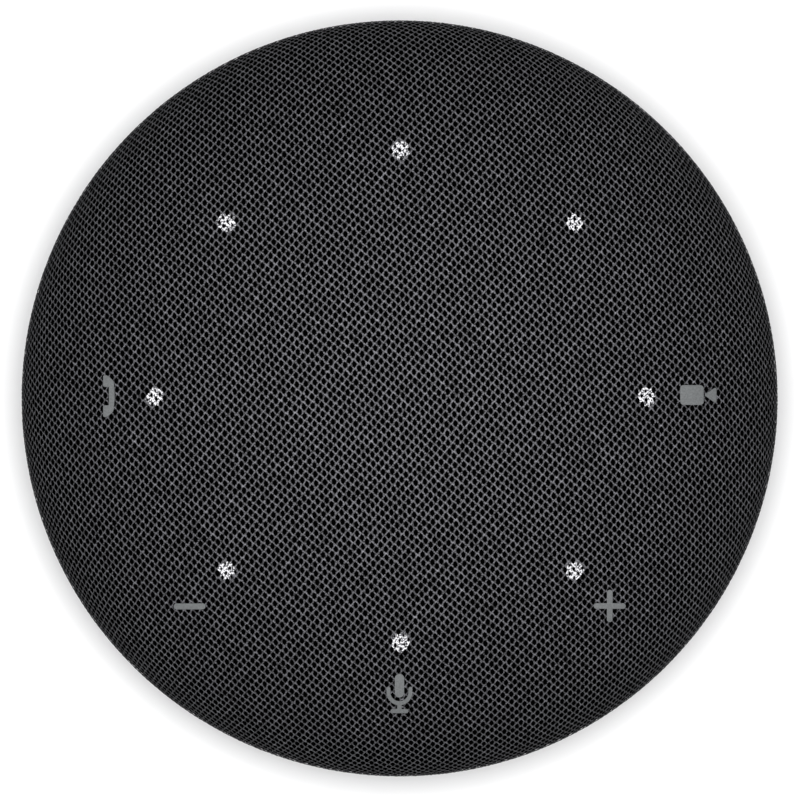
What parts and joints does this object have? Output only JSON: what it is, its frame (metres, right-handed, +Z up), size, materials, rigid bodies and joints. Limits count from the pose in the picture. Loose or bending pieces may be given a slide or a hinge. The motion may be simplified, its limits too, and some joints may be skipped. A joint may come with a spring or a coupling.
{
  "type": "conference speakerphone",
  "caption": "Round puck-shaped desk speakerphone with a cloth-covered dome, a ring of lights, touch keys round the rim and a neck to wind its lead on.",
  "frame": {"origin": "middle of the foot ring's underside, on the table", "axes": "+Z up, -Y towards the user (the microphone key), +Y towards the lead's gland"},
  "size_m": [0.1, 0.1, 0.033],
  "materials": {
    "mesh_cloth": "dark grey polyester knit with open square meshes, matt",
    "shell_plastic": "fine moulded texture, black",
    "base_plastic": "fine spark-eroded texture, near black",
    "foot_rubber": "matt black silicone",
    "gland_rubber": "satin black",
    "key_plastic": "matt black",
    "light_guide": "milky translucent acrylic, lit white",
    "led_package": "white package with pale yellow resin",
    "board_green": "green solder mask",
    "switch_metal": "stamped tinned steel",
    "plunger_plastic": "natural nylon",
    "microphone_can": "can under a black dust mesh",
    "screw_steel": "black zinc",
    "speaker_box_plastic": "black, moulded",
    "driver_steel": "zinc-plated pressed steel",
    "ferrite": "ground ferrite, dark grey",
    "cone_paper": "coated black paper",
    "coil_copper": "enamelled copper wire",
    "surround_rubber": "soft black butyl",
    "spider_cloth": "resin-dipped amber cloth"
  },
  "bodies": {
    "root": {"fabric_cover": "mesh_cloth", "upper_shell": "shell_plastic", "trim_ring": "base_plastic", "lower_housing": "base_plastic", "cable_spool": "base_plastic", "bottom_cover": "base_plastic", "foot_ring": "foot_rubber", "cable_gland": "gland_rubber", "control_board": "board_green", "main_board": "board_green", "speaker_box": "speaker_box_plastic", "driver_basket": "driver_steel", "driver_yoke": "driver_steel", "driver_top_plate": "driver_steel", "driver_magnet": "ferrite", "driver_gasket": "foot_rubber", "surround": "surround_rubber", "spider": "spider_cloth", "base_screw_1": "screw_steel", "base_screw_2": "screw_steel", "base_screw_3": "screw_steel", "base_screw_4": "screw_steel", "light_guide_1": "light_guide", "light_guide_2": "light_guide", "light_guide_3": "light_guide", "light_guide_4": "light_guide", "light_guide_5": "light_guide", "light_guide_6": "light_guide", "light_guide_7": "light_guide", "light_guide_8": "light_guide", "led_1": "led_package", "led_2": "led_package", "led_3": "led_package", "led_4": "led_package", "led_5": "led_package", "led_6": "led_package", "led_7": "led_package", "led_8": "led_package", "microphone_1": "microphone_can", "microphone_gasket_1": "gland_rubber", "microphone_2": "microphone_can", "microphone_gasket_2": "gland_rubber", "switch_answer": "switch_metal", "switch_volume_down": "switch_metal", "switch_mute": "switch_metal", "switch_volume_up": "switch_metal", "switch_meeting": "switch_metal"},
    "answer_key": {"key_answer": "key_plastic", "switch_plunger_answer": "plunger_plastic"},
    "volume_down_key": {"key_volume_down": "key_plastic", "switch_plunger_volume_down": "plunger_plastic"},
    "mute_key": {"key_mute": "key_plastic", "switch_plunger_mute": "plunger_plastic"},
    "volume_up_key": {"key_volume_up": "key_plastic", "switch_plunger_volume_up": "plunger_plastic"},
    "meeting_key": {"key_meeting": "key_plastic", "switch_plunger_meeting": "plunger_plastic"},
    "cone": {"speaker_cone": "cone_paper", "dust_cap": "cone_paper", "voice_coil": "coil_copper"}
  },
  "joints": [
    {"name": "answer_press", "type": "slide", "parent": "root", "child": "answer_key", "axis": [0, 0, -1], "range_m": [0, 0.0004], "stiffness_N_per_m": 3000},
    {"name": "volume_down_press", "type": "slide", "parent": "root", "child": "volume_down_key", "axis": [0, 0, -1], "range_m": [0, 0.0004], "stiffness_N_per_m": 3000},
    {"name": "mute_press", "type": "slide", "parent": "root", "child": "mute_key", "axis": [0, 0, -1], "range_m": [0, 0.0004], "stiffness_N_per_m": 3000},
    {"name": "volume_up_press", "type": "slide", "parent": "root", "child": "volume_up_key", "axis": [0, 0, -1], "range_m": [0, 0.0004], "stiffness_N_per_m": 3000},
    {"name": "meeting_press", "type": "slide", "parent": "root", "child": "meeting_key", "axis": [0, 0, -1], "range_m": [0, 0.0004], "stiffness_N_per_m": 3000},
    {"name": "cone_travel", "type": "slide", "parent": "root", "child": "cone", "axis": [0, 0, 1], "range_m": [-0.0012, 0.0012], "stiffness_N_per_m": 1500, "deforming": ["surround", "spider"]}
  ]
}
